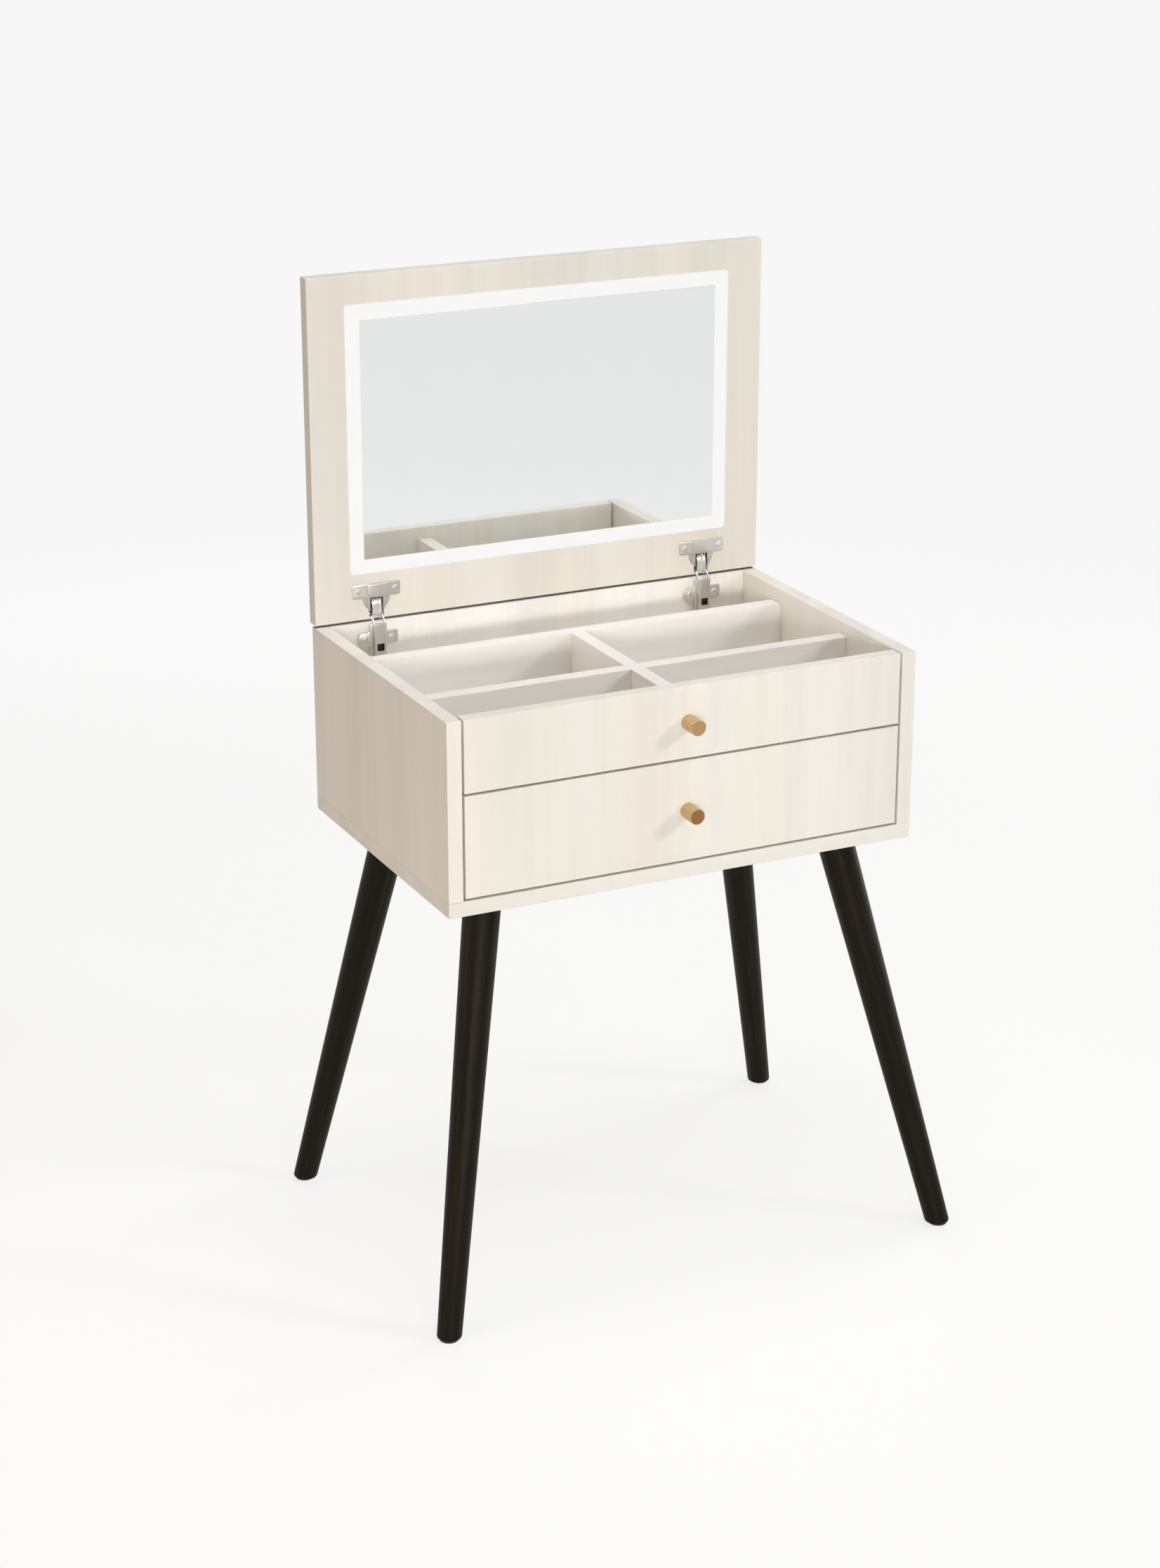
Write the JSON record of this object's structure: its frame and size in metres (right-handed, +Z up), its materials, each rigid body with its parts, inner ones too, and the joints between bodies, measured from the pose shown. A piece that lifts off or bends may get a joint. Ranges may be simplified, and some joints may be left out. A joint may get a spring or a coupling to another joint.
{
  "type": "vanity table",
  "caption": "Dressing table with a flip-up lit mirror lid over divided trays, a fixed upper front, a knobbed drawer on side runners and splayed round tapered legs.",
  "frame": {"origin": "on the floor, midway between the four feet", "axes": "+X to the table's right seen from its front, +Y to its back, +Z up"},
  "size_m": [0.6877, 0.4848, 1.1512],
  "materials": {
    "white_board": "satin warm white laminate on board",
    "tray_board": "satin warm white laminate on board",
    "drawer_board": "satin warm white laminate on board",
    "peg_wood": "bare hardwood",
    "knob_wood": "lightly oiled golden hardwood",
    "leg_wood": "satin near-black stain",
    "glide_plastic": "matt",
    "hinge_nickel": "nickel plate",
    "hinge_chrome": "polished",
    "rail_steel": "zinc plate",
    "screw_steel": "zinc plate",
    "frosted_acrylic": "frosted, lit from behind",
    "led_tape": "matt tape",
    "mirror": "silvered glass",
    "backing_sheet": "matt",
    "switch_film": "matt",
    "battery_wrap": "matt film",
    "circuit_board": "lacquered",
    "socket_plastic": "matt"
  },
  "bodies": {
    "case": {"bottom_panel": "white_board", "left_side_panel": "white_board", "right_side_panel": "white_board", "back_panel": "white_board", "upper_front": "white_board", "tray_floor": "tray_board", "rear_divider": "tray_board", "middle_divider": "tray_board", "centre_divider": "tray_board", "panel_dowels": "peg_wood", "tray_pegs": "peg_wood", "upper_knob": "knob_wood", "upper_knob_screw": "screw_steel", "front_left_leg": "leg_wood", "front_right_leg": "leg_wood", "rear_left_leg": "leg_wood", "rear_right_leg": "leg_wood", "front_left_glide": "glide_plastic", "front_right_glide": "glide_plastic", "rear_left_glide": "glide_plastic", "rear_right_glide": "glide_plastic", "leg_bolts": "screw_steel", "tee_nuts": "screw_steel", "left_case_rail": "rail_steel", "right_case_rail": "rail_steel", "case_rail_screws": "screw_steel", "left_hinge_plate": "hinge_nickel", "right_hinge_plate": "hinge_nickel", "left_hinge_arm": "hinge_nickel", "right_hinge_arm": "hinge_nickel", "hinge_pins": "screw_steel", "hinge_plate_screws": "screw_steel"},
    "lid": {"lid_panel": "white_board", "light_frame": "frosted_acrylic", "light_strip": "led_tape", "mirror_glass": "mirror", "mirror_backing": "backing_sheet", "touch_switch": "switch_film", "battery_pack": "battery_wrap", "control_board": "circuit_board", "charging_socket": "socket_plastic", "left_hinge_cup": "hinge_nickel", "right_hinge_cup": "hinge_nickel", "left_hinge_link": "hinge_chrome", "right_hinge_link": "hinge_chrome", "hinge_cup_screws": "screw_steel"},
    "drawer": {"drawer_front": "white_board", "left_drawer_side": "drawer_board", "right_drawer_side": "drawer_board", "drawer_back": "drawer_board", "drawer_floor": "drawer_board", "drawer_pegs": "peg_wood", "drawer_screws": "screw_steel", "drawer_knob": "knob_wood", "drawer_knob_screw": "screw_steel", "left_drawer_rail": "rail_steel", "right_drawer_rail": "rail_steel", "drawer_rail_screws": "screw_steel"},
    "slide_rails": {"left_middle_rail": "rail_steel", "right_middle_rail": "rail_steel"}
  },
  "joints": [
    {"name": "lid_hinge", "type": "hinge", "parent": "case", "child": "lid", "pos_m": [0, 0.21735, 0.73835], "axis": [1, 0, 0], "range_deg": [0, 90]},
    {"name": "drawer_slide", "type": "slide", "parent": "case", "child": "drawer", "axis": [0, -1, 0], "range_m": [0, 0.25]},
    {"name": "middle_slide", "type": "slide", "parent": "case", "child": "slide_rails", "axis": [0, -1, 0], "range_m": [0, 0.125]}
  ],
  "couplings": [
    {"joint": "middle_slide", "follows": "drawer_slide", "ratio": 0.5}
  ]
}
